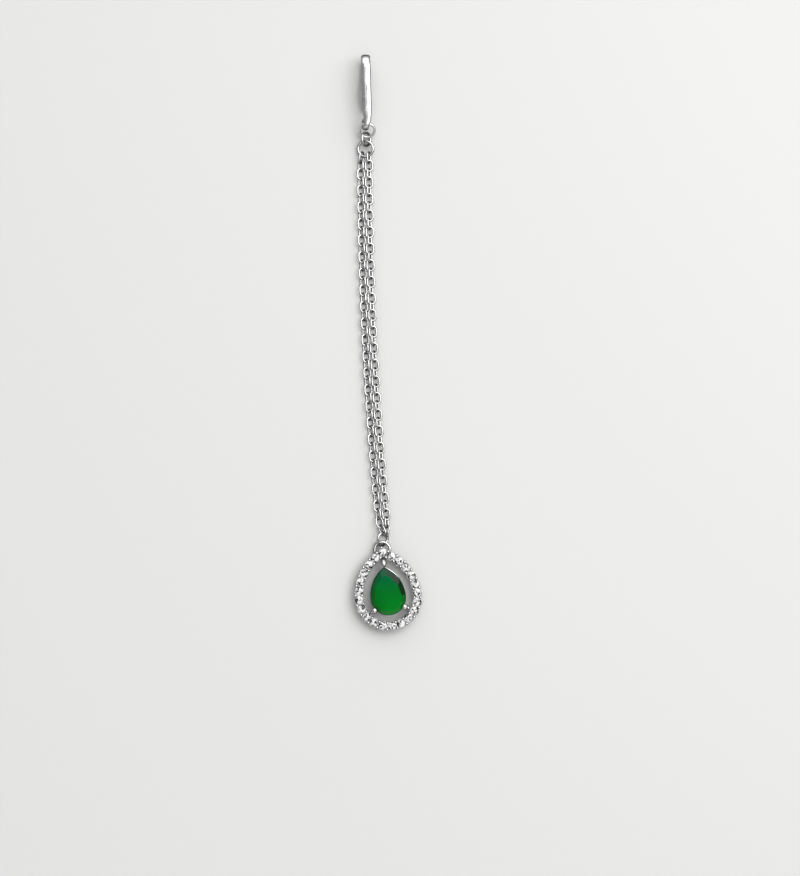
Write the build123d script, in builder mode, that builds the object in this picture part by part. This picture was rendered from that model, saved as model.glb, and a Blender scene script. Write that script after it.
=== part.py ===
"""Maang tikka: a pear-shaped halo pendant on a doubled cable chain with a hair hook.

It lies flat: the hook points along +Y, the pendant along -Y, and the stones face +Z.
Everything is in millimetres, and z = 0 is the surface that it lies on.
"""

import os
from math import acos, asin, atan, atan2, cos, degrees, hypot, radians, sin, sqrt, tan

from build123d import *

os.makedirs("parts", exist_ok=True)

# ---- driving dimensions ------------------------------------------------------------

# the hook's bend in plan: every place along the chain is measured from here
HOOK_TOP = (-3.943, 48.694)

# the hair hook, a flattened oval wire with a curled eye
HOOK_ACROSS = 0.12
HOOK_LEAN = 1.8
HOOK_WIDTH = 1.50
HOOK_THICK = 0.72
BEND_RADIUS = 1.90
BEND_CREST = 4.25
TIP_LIFT = 0.02
RETURN_RISE = 9.0
RETURN_PEAK = 6.60
RETURN_TIP = 9.40
PEAK_RADIUS = 4.0
LEG_TAPER_START = 9.60
TAPER_TUCK = 0.30
TAPER_SET_IN = 0.01
EYE_WIDTH = 1.08
EYE_THICK = 0.60
EYE_BORE = 0.86
EYE_BELOW = 11.77
EYE_HEIGHT = 2.47
EYE_TURN = 290.0

# the two strands of oval links
LINKS = 46
LINK_PITCH = 1.408
LINK_PLAY = 0.13
LINK_WIDTH = 1.50
LINK_WIRE = 0.30
FIRST_LINK = 17.15
CHAIN_DRIFT = 3.20

# the pendant's halo of round stones, and its bail ring
PENDANT_ACROSS = 3.96
PENDANT_BELOW = 91.65
PENDANT_TILT = 7.4
STONES = 22
STONE_RADIUS = 0.70
STONE_CROWN = 0.21
STONE_GIRDLE = 0.05
STONE_PAVILION = 0.61
STONE_GIRDLE_Z = 1.95
HALO_BELLY = 4.95
HALO_SHOULDER = 8.18
HALO_BACK_Z = 0.85
RAIL_TOP_Z = 1.78
RAIL_HALF_WIDTH = 0.55
CUP_RADIUS = 0.82
CUP_TOP_Z = 1.90
SEAT_HOLE_RADIUS = 0.40
SEAT_HOLE_BELOW = 1.0
SEAT_MOUTH = 0.42
BEAD_RADIUS = 0.26
BEAD_OFFSET = 0.53
BEAD_Z = 1.94
BAIL_OUTER = 3.05
BAIL_WIRE = 0.46
BAIL_ABOVE_TIP = 0.50
BAIL_HEIGHT = 0.87

# the centre stone and its basket
CENTRE_BELLY = 3.00
CENTRE_SHOULDER = 6.00
CENTRE_SET_BACK = 0.05
CENTRE_CROWN = 0.58
CENTRE_GIRDLE = 0.10
CENTRE_PAVILION = 2.17
CENTRE_GIRDLE_Z = 2.72
GALLERY_TOP_Z = 2.42
GALLERY_DEPTH = 0.40
GALLERY_OUT = 0.08
GALLERY_IN = 0.34
BASE_BELLY = 1.70
BASE_SHOULDER = 4.25
BASE_DEPTH = 0.45
BASE_HALF_WIDTH = 0.22
POST_RADIUS = 0.30
POST_FOOT_Z = 0.24
CLAW_RADIUS = 0.43
CLAW_OUTSET = 0.26
CLAW_Z = 2.86
CLAW_AZIMUTH = 126.0
TIP_CLAW_RADIUS = 0.33
TIP_CLAW_OUTSET = 0.25
TIP_CLAW_FOOT = (0.85, 1.45)
STRUT_RADIUS = 0.24
STRUT_Z = 1.35
STRUT_INNER = 2.45
STRUT_OUTER = 4.30

# stones are held this far clear of the metal
CLEARANCE = 0.03

# strand: across, height, roll of even links, roll of odd links
STRANDS = {
    "chain_left": (-0.70, 0.64, 22.0, -52.0),
    "chain_right": (0.66, 0.71, 66.0, 4.0),
}

# links that turn to meet a ring: (strand, number): across, further on, height, yaw, pitch, roll
END_LINKS = {
    ("chain_left", 0): (-0.585, 0.01, 0.73, -7.3, 3.8, 57.6),
    ("chain_right", 0): (0.64, 0.02, 0.75, -0.8, 1.3, 67.1),
    ("chain_left", LINKS - 2): (-0.585, -0.04, 0.84, 13.3, -11.2, 30.0),
    ("chain_right", LINKS - 2): (0.625, -0.02, 0.73, 3.8, -1.6, 68.3),
    ("chain_left", LINKS - 1): (-0.27, -0.145, 1.13, 24.4, -17.1, -44.7),
    ("chain_right", LINKS - 1): (0.39, -0.055, 0.79, -12.4, -2.2, -43.9),
}

# jump rings: name, outer diameter, wire, across, below, height, yaw, pitch, roll
RINGS = (
    ("ring_hook", 3.00, 0.45, 0.40, 12.71, 1.73, 0.0, 36.7, 0.0),
    ("ring_middle", 2.60, 0.42, 0.23, 14.10, 1.17, 0.0, 1.2, 51.2),
    ("ring_chain", 3.00, 0.42, 0.09, 15.70, 0.87, -4.1, 5.1, -7.9),
    ("ring_pendant", 2.70, 0.39, 3.01, 81.88, 1.045, -8.7, 8.3, 45.9),
)

# tiers of facets: how many, first azimuth, and the two points of the facet's slope,
# each as (share of the stone's radius, share of the crown's or the pavilion's height)
ROUND_CROWN = (
    (8, 0.0, (1.00, 0.00), (0.57, 1.00)),
    (16, 11.25, (1.00, 0.00), (0.66, 1.00)),
    (8, 22.5, (0.88, 0.44), (0.53, 1.00)),
)
ROUND_PAVILION = (
    (8, 0.0, (1.00, 0.00), (0.00, 1.00)),
    (16, 11.25, (1.00, 0.00), (0.06, 1.00)),
)
PEAR_CROWN = (
    (14, 0.0, (1.00, 0.00), (0.74, 1.00)),
    (14, 180 / 14, (1.00, 0.00), (0.81, 1.00)),
)
PEAR_PAVILION = (
    (14, 0.0, (1.00, 0.00), (0.00, 1.00)),
    (14, 180 / 14, (1.00, 0.00), (0.20, 1.00)),
)


# ---- helpers -----------------------------------------------------------------------


def place(across, below, height):
    """A point given across the chain's line and below the hook's bend."""
    return (HOOK_TOP[0] + across, HOOK_TOP[1] - below, height)


def lying(across, below, height, yaw, pitch, roll):
    """Where a ring or link lies: turned about Z, then its own X, then its own Y."""
    return Location(place(across, below, height), (yaw, pitch, roll), Intrinsic.ZXY)


def pear_tip(belly, shoulder):
    """How far a pear outline's tip stands from the centre of its round end."""
    return sqrt(shoulder**2 - (shoulder - belly) ** 2)


def pear_line(belly, shoulder):
    """A pear outline from its tip, down one shoulder, round the belly and up the other."""
    centre = shoulder - belly
    turn = degrees(acos(centre / shoulder))
    CenterArc((centre, 0), shoulder, 180 - turn, turn)
    CenterArc((0, 0), belly, 180, 180)
    CenterArc((-centre, 0), shoulder, 0, turn)


def pear_face(plane, belly, shoulder):
    """A filled pear outline as a sketch on a plane."""
    with BuildSketch(plane) as outline:
        with BuildLine():
            pear_line(belly, shoulder)
        make_face()
    return outline.sketch


def pear_reach(belly, shoulder, azimuth):
    """How far out a pear's tangent line stands when it faces an azimuth from the tip."""
    turn = radians(abs((azimuth + 180) % 360 - 180))
    corner = radians(90) - acos((shoulder - belly) / shoulder)
    if turn < corner:
        return pear_tip(belly, shoulder) * cos(turn)
    if turn < radians(90):
        return shoulder - (shoulder - belly) * sin(turn)
    return belly


def cut_facets(tiers, reach, start, height, grow):
    """Cut the part in hand by every facet plane of some tiers, which rise or fall from start."""
    for count, first, foot, head in tiers:
        for index in range(count):
            azimuth = first + 360 * index / count
            outward = Vector(-sin(radians(azimuth)), cos(radians(azimuth)), 0)
            run = (foot[0] - head[0]) * reach(azimuth)
            rise = (head[1] - foot[1]) * height
            facing = outward * abs(rise) + Vector(0, 0, run if rise > 0 else -run)
            facing = facing.normalized()
            point = outward * (foot[0] * reach(azimuth)) + Vector(0, 0, start + foot[1] * height)
            split(bisect_by=Plane(point + facing * grow, z_dir=facing), keep=Keep.BOTTOM)


def round_stone(grow=0.0):
    """A round brilliant about the origin, its girdle's top at z = 0; grow swells it all round."""
    with BuildPart() as stone:
        with BuildSketch(Plane.XY.offset(-STONE_GIRDLE - STONE_PAVILION - grow)):
            Circle(STONE_RADIUS + grow)
        extrude(amount=STONE_PAVILION + STONE_GIRDLE + STONE_CROWN + 2 * grow)
        cut_facets(ROUND_CROWN, lambda azimuth: STONE_RADIUS, 0, STONE_CROWN, grow)
        cut_facets(
            ROUND_PAVILION, lambda azimuth: STONE_RADIUS, -STONE_GIRDLE, -STONE_PAVILION, grow
        )
    return stone.part


def pear_stone(grow=0.0):
    """The centre stone about its belly's centre, its girdle's top at z = 0."""
    with BuildPart() as stone:
        base = Plane.XY.offset(-CENTRE_GIRDLE - CENTRE_PAVILION - grow)
        add(pear_face(base, CENTRE_BELLY + grow, CENTRE_SHOULDER + grow))
        extrude(amount=CENTRE_PAVILION + CENTRE_GIRDLE + CENTRE_CROWN + 2 * grow)

        def reach(azimuth):
            return pear_reach(CENTRE_BELLY, CENTRE_SHOULDER, azimuth)

        cut_facets(PEAR_CROWN, reach, 0, CENTRE_CROWN, grow)
        cut_facets(PEAR_PAVILION, reach, -CENTRE_GIRDLE, -CENTRE_PAVILION, grow)
    return stone.part


# ---- hook --------------------------------------------------------------------------

# the hook is drawn upright about the origin, first along the strip and then up, and placed after
hook_plane = Plane(origin=(0, 0, 0), x_dir=(0, -1, 0), z_dir=(-1, 0, 0))
half_thick = HOOK_THICK / 2
rise = radians(RETURN_RISE)
bend_middle = half_thick + BEND_RADIUS
bend_foot = half_thick - BEND_RADIUS * (1 / cos(rise) - 1)
peak_z = bend_foot + (RETURN_PEAK - bend_middle) * tan(rise)
lower_corner = (half_thick, bend_foot - BEND_RADIUS * tan(rise))
upper_corner = (half_thick, BEND_CREST)

# the leg is the tangent from the upper corner to the top of the eye
eye_radius = (EYE_BORE + EYE_THICK) / 2
eye_run = EYE_BELOW - half_thick
eye_drop = BEND_CREST - EYE_HEIGHT
leg_fall = atan2(eye_drop, eye_run) - asin(eye_radius / hypot(eye_run, eye_drop))
eye_top = (EYE_BELOW + eye_radius * sin(leg_fall), EYE_HEIGHT + eye_radius * cos(leg_fall))
taper_z = BEND_CREST - (LEG_TAPER_START - half_thick) * tan(leg_fall)


def strip_section(path, position, width, thick):
    """An oval section across a path, its long axis along the hook's width."""
    section_plane = Plane(
        origin=path @ position, x_dir=hook_plane.z_dir, z_dir=path % position
    )
    with BuildSketch(section_plane) as section:
        Ellipse(width / 2, thick / 2)
    return section.sketch


with BuildPart() as hook_form:
    with BuildLine(hook_plane) as bend_line:
        FilletPolyline(
            (RETURN_TIP, half_thick + TIP_LIFT),
            (RETURN_PEAK, peak_z),
            lower_corner,
            upper_corner,
            (LEG_TAPER_START, taper_z),
            radius=[PEAK_RADIUS, BEND_RADIUS, BEND_RADIUS],
        )
    bend_path = bend_line.wires()[0]
    sweep(strip_section(bend_path, 0, HOOK_WIDTH, HOOK_THICK), path=bend_path)
    # the taper starts a little inside the leg, and a hair slimmer than it
    with BuildLine(hook_plane) as taper_line:
        Line(
            (LEG_TAPER_START - TAPER_TUCK * cos(leg_fall), taper_z + TAPER_TUCK * sin(leg_fall)),
            eye_top,
        )
    taper_path = taper_line.wires()[0]
    tucked_width = HOOK_WIDTH - 2 * TAPER_SET_IN
    tucked_thick = HOOK_THICK - 2 * TAPER_SET_IN
    loft(
        [
            strip_section(taper_path, 0, tucked_width, tucked_thick),
            strip_section(taper_path, 1, EYE_WIDTH, EYE_THICK),
        ]
    )
    with BuildLine(hook_plane) as eye_line:
        start_angle = 90 - degrees(leg_fall)
        CenterArc((EYE_BELOW, EYE_HEIGHT), eye_radius, start_angle, -EYE_TURN)
    eye_path = eye_line.wires()[0]
    sweep(strip_section(eye_path, 0, EYE_WIDTH, EYE_THICK), path=eye_path)

with BuildPart() as hook:
    with Locations(Location(place(HOOK_ACROSS, 0, 0), (0, 0, HOOK_LEAN))):
        add(hook_form.part)
hook.part.label = "hook"
export_step(hook.part, "parts/hook.step")


# ---- jump rings and chain ----------------------------------------------------------

for name, outer, wire, *pose in RINGS:
    with BuildPart() as ring:
        with Locations(lying(*pose)):
            Torus(major_radius=(outer - wire) / 2, minor_radius=wire / 2)
    ring.part.label = name
    export_step(ring.part, f"parts/{name}.step")

# one oval link about the origin, its long axis along Y
link_bend = (LINK_WIDTH - LINK_WIRE) / 2
link_side = (LINK_PITCH + LINK_PLAY + LINK_WIRE) / 2 - link_bend
with BuildPart() as link_form:
    with BuildLine() as link_line:
        Line((link_bend, -link_side), (link_bend, link_side))
        CenterArc((0, link_side), link_bend, 0, 180)
        Line((-link_bend, link_side), (-link_bend, -link_side))
        CenterArc((0, -link_side), link_bend, 180, 180)
    with BuildSketch(Plane(origin=(link_bend, -link_side, 0), z_dir=(0, 1, 0))):
        Circle(LINK_WIRE / 2)
    sweep(path=link_line.wires()[0])


def link_place(strand, number):
    """Where a link lies: its strand drifts sideways with the square of the way down."""
    across, height, even_roll, odd_roll = STRANDS[strand]
    way = number / (LINKS - 1)
    below = FIRST_LINK + number * LINK_PITCH
    yaw = degrees(atan(2 * CHAIN_DRIFT * way / (LINK_PITCH * (LINKS - 1))))
    pitch = 0.0
    roll = odd_roll if number % 2 else even_roll
    if (strand, number) in END_LINKS:
        across, further, height, yaw, pitch, roll = END_LINKS[strand, number]
        below += further
    return lying(across + CHAIN_DRIFT * way**2, below, height, yaw, pitch, roll)


for name in STRANDS:
    with BuildPart() as chain:
        with Locations([link_place(name, number) for number in range(LINKS)]):
            add(link_form.part)
    chain.part.label = name
    export_step(chain.part, f"parts/{name}.step")


# ---- pendant setting ---------------------------------------------------------------

tilt = radians(PENDANT_TILT)
pendant = Plane(
    origin=place(PENDANT_ACROSS, PENDANT_BELOW, 0),
    x_dir=(cos(tilt), sin(tilt), 0),
    z_dir=(0, 0, 1),
)
tip_y = pear_tip(HALO_BELLY, HALO_SHOULDER)


def on_pendant(x, y, z, turn=0.0):
    """A place on the pendant, from the middle of the halo's round end."""
    return pendant.location * Location((x, y, z), (0, 0, turn))


with BuildLine() as stone_line:
    pear_line(HALO_BELLY, HALO_SHOULDER)
stone_wire = stone_line.wires()[0]


def round_the_halo(step, outset=0.0):
    """A place on the line of stones, so many stones from the tip, moved outwards."""
    share = (step / STONES) % 1.0
    point = stone_wire @ share
    along = stone_wire % share
    outward = Vector(along.Y, -along.X)
    turn = degrees(atan2(along.Y, along.X))
    return point.X + outward.X * outset, point.Y + outward.Y * outset, turn


stone_places = [round_the_halo(step) for step in range(STONES)]
bead_places = [
    round_the_halo(step + 0.5, side * BEAD_OFFSET) for step in range(STONES) for side in (-1, 1)
]


def rod(start, end, radius):
    """A round rod between two points of the pendant."""
    first = pendant.from_local_coords(Vector(*start))
    last = pendant.from_local_coords(Vector(*end))
    span = last - first
    return Plane(first, z_dir=span) * extrude(Circle(radius), amount=span.length)


def from_basket(reach, azimuth, z):
    """A point of the basket, by how far it stands from the stone's middle and which way."""
    turn = radians(azimuth)
    return (reach * sin(turn), reach * cos(turn) - CENTRE_SET_BACK, z)


base_tip = from_basket(pear_tip(BASE_BELLY, BASE_SHOULDER), 0, POST_FOOT_Z)
tip_claw = from_basket(pear_tip(CENTRE_BELLY, CENTRE_SHOULDER) + TIP_CLAW_OUTSET, 0, CLAW_Z)
claw_foot = (0, tip_y - TIP_CLAW_FOOT[0], TIP_CLAW_FOOT[1])
side_reach = CENTRE_BELLY + CLAW_OUTSET
side_claws = [from_basket(side_reach, side * CLAW_AZIMUTH, CLAW_Z) for side in (-1, 1)]

rods = [rod(base_tip, tip_claw, POST_RADIUS), rod(claw_foot, tip_claw, TIP_CLAW_RADIUS)]
for side in (-1, 1):
    azimuth = side * CLAW_AZIMUTH
    foot = from_basket(BASE_BELLY, azimuth, POST_FOOT_Z)
    rods.append(rod(foot, from_basket(side_reach, azimuth, CLAW_Z), POST_RADIUS))
    inner = from_basket(STRUT_INNER, azimuth, STRUT_Z)
    rods.append(rod(inner, from_basket(STRUT_OUTER, azimuth, STRUT_Z), STRUT_RADIUS))

# one round stone's seat: a hole, a cone under the girdle and room above it
seat_radius = STONE_RADIUS + CLEARANCE
cone_top = STONE_GIRDLE_Z - STONE_GIRDLE - CLEARANCE
cone_foot = cone_top - (seat_radius - SEAT_HOLE_RADIUS) * STONE_PAVILION / STONE_RADIUS
with BuildPart() as seat:
    with BuildSketch(Plane.XZ):
        with BuildLine():
            Polyline(
                (0, HALO_BACK_Z - SEAT_HOLE_BELOW),
                (SEAT_HOLE_RADIUS, HALO_BACK_Z - SEAT_HOLE_BELOW),
                (SEAT_HOLE_RADIUS, cone_foot),
                (seat_radius, cone_top),
                (seat_radius, STONE_GIRDLE_Z + CLEARANCE),
                (SEAT_MOUTH, STONE_GIRDLE_Z + STONE_CROWN + CLEARANCE),
                (0, STONE_GIRDLE_Z + STONE_CROWN + CLEARANCE),
                close=True,
            )
        make_face()
    revolve(axis=Axis.Z)

basket = Plane(pendant.from_local_coords(Vector(0, -CENTRE_SET_BACK, 0)), x_dir=pendant.x_dir)
back = pendant.offset(HALO_BACK_Z)
with BuildPart() as setting:
    # the halo's rail, its cups and the beads between the stones
    with BuildSketch(back):
        with BuildLine():
            pear_line(HALO_BELLY + RAIL_HALF_WIDTH, HALO_SHOULDER + RAIL_HALF_WIDTH)
        make_face()
        with BuildLine():
            pear_line(HALO_BELLY - RAIL_HALF_WIDTH, HALO_SHOULDER - RAIL_HALF_WIDTH)
        make_face(mode=Mode.SUBTRACT)
    extrude(amount=RAIL_TOP_Z - HALO_BACK_Z)
    with BuildSketch(back):
        with Locations([(x, y) for x, y, turn in stone_places]):
            Circle(CUP_RADIUS)
    extrude(amount=CUP_TOP_Z - HALO_BACK_Z)
    with BuildSketch(back):
        with Locations([(x, y) for x, y, turn in bead_places]):
            Circle(BEAD_RADIUS)
    extrude(amount=BEAD_Z - HALO_BACK_Z)

    # the bail ring, soldered behind the tip
    bail_radius = (BAIL_OUTER - BAIL_WIRE) / 2
    with Locations(on_pendant(0, tip_y + BAIL_ABOVE_TIP, BAIL_HEIGHT)):
        Torus(major_radius=bail_radius, minor_radius=BAIL_WIRE / 2, rotation=(180, 0, 0))

    # rounded tops for the beads, and every round stone's seat
    with Locations([on_pendant(x, y, BEAD_Z) for x, y, turn in bead_places]):
        Sphere(BEAD_RADIUS)
    with Locations([on_pendant(x, y, 0) for x, y, turn in stone_places]):
        add(seat.part, mode=Mode.SUBTRACT)

    # the basket: a gallery rail under the girdle and a base rail that the pendant lies on
    with BuildSketch(basket.offset(GALLERY_TOP_Z - GALLERY_DEPTH)):
        with BuildLine():
            pear_line(CENTRE_BELLY + GALLERY_OUT, CENTRE_SHOULDER + GALLERY_OUT)
        make_face()
        with BuildLine():
            pear_line(CENTRE_BELLY - GALLERY_IN, CENTRE_SHOULDER - GALLERY_IN)
        make_face(mode=Mode.SUBTRACT)
    extrude(amount=GALLERY_DEPTH)
    with BuildSketch(basket):
        with BuildLine():
            pear_line(BASE_BELLY + BASE_HALF_WIDTH, BASE_SHOULDER + BASE_HALF_WIDTH)
        make_face()
        with BuildLine():
            pear_line(BASE_BELLY - BASE_HALF_WIDTH, BASE_SHOULDER - BASE_HALF_WIDTH)
        make_face(mode=Mode.SUBTRACT)
    extrude(amount=BASE_DEPTH)

    # posts and struts, and the three claws that hold the stone
    add(rods)
    with Locations(on_pendant(*tip_claw)):
        Sphere(TIP_CLAW_RADIUS)
    with Locations([on_pendant(*claw) for claw in side_claws]):
        Sphere(CLAW_RADIUS)

    # the centre stone's seat
    with Locations(on_pendant(0, -CENTRE_SET_BACK, CENTRE_GIRDLE_Z)):
        add(pear_stone(CLEARANCE), mode=Mode.SUBTRACT)
setting.part.label = "pendant_setting"
export_step(setting.part, "parts/pendant_setting.step")


# ---- stones ------------------------------------------------------------------------

pear_form = pear_stone()
with BuildPart() as centre_stone:
    with Locations(on_pendant(0, -CENTRE_SET_BACK, CENTRE_GIRDLE_Z)):
        add(pear_form)
centre_stone.part.label = "centre_stone"
export_step(centre_stone.part, "parts/centre_stone.step")

round_form = round_stone()
for number, (x, y, turn) in enumerate(stone_places, start=1):
    with BuildPart() as halo_stone:
        with Locations(on_pendant(x, y, STONE_GIRDLE_Z, turn)):
            add(round_form)
    name = f"halo_stone_{number:02d}"
    halo_stone.part.label = name
    export_step(halo_stone.part, f"parts/{name}.step")
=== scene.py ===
# %% [markdown]
# # A forehead jewel: a pear halo on a doubled chain, with a hair hook
#
# The jewel lies flat on a pale table, seen from above. Its sizes come from a measured model,
# which this script loads first and never moves. Each step then makes one real piece in finer
# detail, or gives a measured piece its finish. Lengths are written in millimetres, as a
# jeweller would, and become metres only when points go into a mesh.

import bmesh
import bpy
import numpy as np
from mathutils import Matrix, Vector


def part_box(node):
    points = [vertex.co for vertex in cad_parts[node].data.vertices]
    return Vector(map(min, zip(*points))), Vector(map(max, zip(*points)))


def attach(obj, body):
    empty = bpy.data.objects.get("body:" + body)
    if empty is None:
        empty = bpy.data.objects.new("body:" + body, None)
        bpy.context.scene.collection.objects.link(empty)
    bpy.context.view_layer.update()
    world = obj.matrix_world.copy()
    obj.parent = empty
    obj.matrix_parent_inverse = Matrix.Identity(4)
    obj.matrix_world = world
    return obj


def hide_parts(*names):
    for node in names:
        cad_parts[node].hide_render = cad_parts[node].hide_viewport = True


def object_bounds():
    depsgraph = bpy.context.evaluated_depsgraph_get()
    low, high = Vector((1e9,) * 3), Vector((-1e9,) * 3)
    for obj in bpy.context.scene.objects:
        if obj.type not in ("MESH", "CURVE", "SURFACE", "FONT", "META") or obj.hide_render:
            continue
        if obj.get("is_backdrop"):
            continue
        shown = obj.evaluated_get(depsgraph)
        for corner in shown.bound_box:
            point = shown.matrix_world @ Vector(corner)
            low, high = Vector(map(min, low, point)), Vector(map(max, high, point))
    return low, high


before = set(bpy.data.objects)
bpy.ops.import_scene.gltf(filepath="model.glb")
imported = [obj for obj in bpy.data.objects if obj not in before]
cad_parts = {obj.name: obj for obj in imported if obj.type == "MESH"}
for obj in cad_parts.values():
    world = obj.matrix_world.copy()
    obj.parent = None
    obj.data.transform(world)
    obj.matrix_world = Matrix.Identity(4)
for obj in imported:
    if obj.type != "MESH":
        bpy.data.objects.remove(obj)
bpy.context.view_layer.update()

MM = 0.001
print("nodes:", len(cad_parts))

# %% [markdown]
# ## Surfaces from grids
#
# A wire, a band or a turned cup is a grid of points: one direction runs along the piece, the
# other round its section. Modelling each one by hand would be slow and uneven, so every shape
# here is a formula, worked out for all its points at once. Grids repeat their first row or
# column where they close, and the doubled points are welded at the end, so that no seam or
# pole stays open.

# %% From grids of points to a piece
WELD = 0.0005 * MM


def grid_faces(rows, columns):
    """Quads between neighbouring rows and columns of a grid of points, numbered row by row."""
    number = np.arange(rows * columns).reshape(rows, columns)
    corners = [number[:-1, :-1], number[:-1, 1:], number[1:, 1:], number[1:, :-1]]
    return np.stack(corners, axis=-1).reshape(-1, 4)


def skin(name, *shells):
    """One object from shells, each an array (..., rows, columns, 3) of points in millimetres."""
    points, faces, start = [], [], 0
    for shell in shells:
        grids = shell.reshape(-1, *shell.shape[-3:])
        count, rows, columns = grids.shape[:3]
        first = start + rows * columns * np.arange(count)
        faces.append((grid_faces(rows, columns)[None] + first[:, None, None]).reshape(-1, 4))
        points.append(grids.reshape(-1, 3) * MM)
        start += count * rows * columns
    mesh = bpy.data.meshes.new(name)
    mesh.from_pydata(np.concatenate(points), [], np.concatenate(faces))
    work = bmesh.new()
    work.from_mesh(mesh)
    bmesh.ops.remove_doubles(work, verts=work.verts, dist=WELD)
    bmesh.ops.recalc_face_normals(work, faces=work.faces)
    work.to_mesh(mesh)
    work.free()
    mesh.polygons.foreach_set("use_smooth", np.ones(len(mesh.polygons), bool))
    piece = bpy.data.objects.new(name, mesh)
    bpy.context.scene.collection.objects.link(piece)
    print(f"{name}: {len(mesh.polygons)} faces")
    return piece


# %% A section, the path that carries it, and its turn
def carry(path, side, up, section):
    """Carry a section along a flat path: point = path + across * side + over * up."""
    across, over = section[..., 0, None], section[..., 1, None]
    return path[..., None, :] + side[..., None, :] * across + up[..., None, :] * over


def oval(sides, across=1.0, over=1.0):
    """A closed oval section: (across * cos, over * sin) at equal steps round it."""
    turn = np.linspace(0, 2 * np.pi, sides + 1)
    return np.stack([across * np.cos(turn), over * np.sin(turn)], axis=-1)


def turning(yaw, pitch, roll):
    """Rotation matrices, in degrees: roll about Y, then pitch about X, then yaw about Z."""
    angles = np.radians(np.stack(np.broadcast_arrays(yaw, pitch, roll)).astype(float))
    (cy, cp, cr), (sy, sp, sr) = np.cos(angles), np.sin(angles)
    rows = [
        [cy * cr - sy * sp * sr, -sy * cp, cy * sr + sy * sp * cr],
        [sy * cr + cy * sp * sr, cy * cp, sy * sr - cy * sp * cr],
        [-cp * sr, sp, cp * cr],
    ]
    return np.stack([np.stack(row, axis=-1) for row in rows], axis=-2)


def middle(node):
    """The middle of a measured node's box, in millimetres: half of its two corners' sum."""
    low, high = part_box(node)
    return np.array((low + high) / 2) / MM


# %% [markdown]
# ## The metal
#
# The whole jewel is white metal with a rhodium finish: nearly a mirror, with a faint greyness
# and the fine ripple that a polishing barrel leaves. A mirror that is perfectly even looks
# computed, so two noise patterns let its tone and its roughness wander a little, and a third,
# drawn out along the jewel, is its ripple. The dark edges of a polished wire come from what it
# reflects, and here they are painted shade: the metal's colour darkens by how far its surface
# turns away from upright. It could be painted by hand, but the surface's own normal already
# knows it.

# %% Patterns and ranges for materials
def new_material(name):
    """An empty node material with its shader, ready for sockets and links."""
    material = bpy.data.materials.new(name)
    material.use_nodes = True
    nodes = material.node_tree.nodes
    return material, nodes, material.node_tree.links, nodes["Principled BSDF"]


def noise(nodes, links, scale, detail, stretch=(1, 1, 1)):
    """A noise pattern on object coordinates, with its grains given per millimetre."""
    place = nodes.new("ShaderNodeTexCoord")
    mapping = nodes.new("ShaderNodeMapping")
    mapping.inputs["Scale"].default_value = stretch
    pattern = nodes.new("ShaderNodeTexNoise")
    pattern.inputs["Scale"].default_value = scale / MM
    pattern.inputs["Detail"].default_value = detail
    links.new(place.outputs["Object"], mapping.inputs["Vector"])
    links.new(mapping.outputs["Vector"], pattern.inputs["Vector"])
    return pattern.outputs["Fac"]


def remap(nodes, links, value, low, high, start=0.3, end=0.7):
    """Stretch a value so that it runs from low to high while it goes from start to end."""
    ramp = nodes.new("ShaderNodeMapRange")
    ramp.inputs["From Min"].default_value = start
    ramp.inputs["From Max"].default_value = end
    ramp.inputs["To Min"].default_value = low
    ramp.inputs["To Max"].default_value = high
    links.new(value, ramp.inputs["Value"])
    return ramp.outputs["Result"]


# %% Painted shade on the sides
SHADE_FADE = 0.34


def painted_flank_shade(nodes, links, colour, flank_shade, start):
    """Painted shade on the sides: a colour scaled by its normal's height, 1 from start up, the
    shade's share a fade below.
    """
    facing = nodes.new("ShaderNodeTexCoord")
    split = nodes.new("ShaderNodeSeparateXYZ")
    links.new(facing.outputs["Normal"], split.inputs["Vector"])
    # painted shade: the colour darkens as the surface turns away from upright
    side_shade = nodes.new("ShaderNodeMapRange")
    side_shade.interpolation_type = "SMOOTHSTEP"
    side_shade.inputs["From Min"].default_value = start - SHADE_FADE
    side_shade.inputs["From Max"].default_value = start
    side_shade.inputs["To Min"].default_value = flank_shade
    links.new(split.outputs["Z"], side_shade.inputs["Value"])
    shaded = nodes.new("ShaderNodeVectorMath")
    shaded.operation = "SCALE"
    links.new(colour, shaded.inputs[0])
    links.new(side_shade.outputs["Result"], shaded.inputs["Scale"])
    return shaded.outputs["Vector"]


# %% Polished silver
TONE_GRAIN = 0.35
POLISH_GRAIN = 0.9
RIPPLE_GRAIN = 1.6
RIPPLE_STRETCH = (1, 0.35, 1)
RIPPLE_DEPTH = 0.02


def silver(name, smooth, dull, ripple, flank_shade, start=0.82, dark=0.78, bright=0.92):
    """Rhodium-plated silver: roughness from smooth to dull, a bump, and painted shade on its
    sides.
    """
    material, nodes, links, shader = new_material(name)
    shader.inputs["Metallic"].default_value = 1.0
    # at a glancing angle metal turns white, and this tint keeps a wire's edges grey
    shader.inputs["Specular Tint"].default_value = (0.35, 0.35, 0.35, 1)
    tone = nodes.new("ShaderNodeValToRGB")
    tone.color_ramp.elements[0].position = 0.35
    tone.color_ramp.elements[0].color = (dark, dark, dark, 1)
    tone.color_ramp.elements[1].position = 0.65
    tone.color_ramp.elements[1].color = (bright, bright, bright * 0.99, 1)
    links.new(noise(nodes, links, TONE_GRAIN, 2), tone.inputs["Fac"])
    # painted shade on the sides of the metal
    shaded = painted_flank_shade(nodes, links, tone.outputs["Color"], flank_shade, start)
    links.new(shaded, shader.inputs["Base Color"])
    wander = remap(nodes, links, noise(nodes, links, POLISH_GRAIN, 3), smooth, dull)
    links.new(wander, shader.inputs["Roughness"])
    bump = nodes.new("ShaderNodeBump")
    bump.inputs["Strength"].default_value = ripple
    bump.inputs["Distance"].default_value = RIPPLE_DEPTH * MM
    links.new(noise(nodes, links, RIPPLE_GRAIN, 4, RIPPLE_STRETCH), bump.inputs["Height"])
    links.new(bump.outputs["Normal"], shader.inputs["Normal"])
    return material
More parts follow.
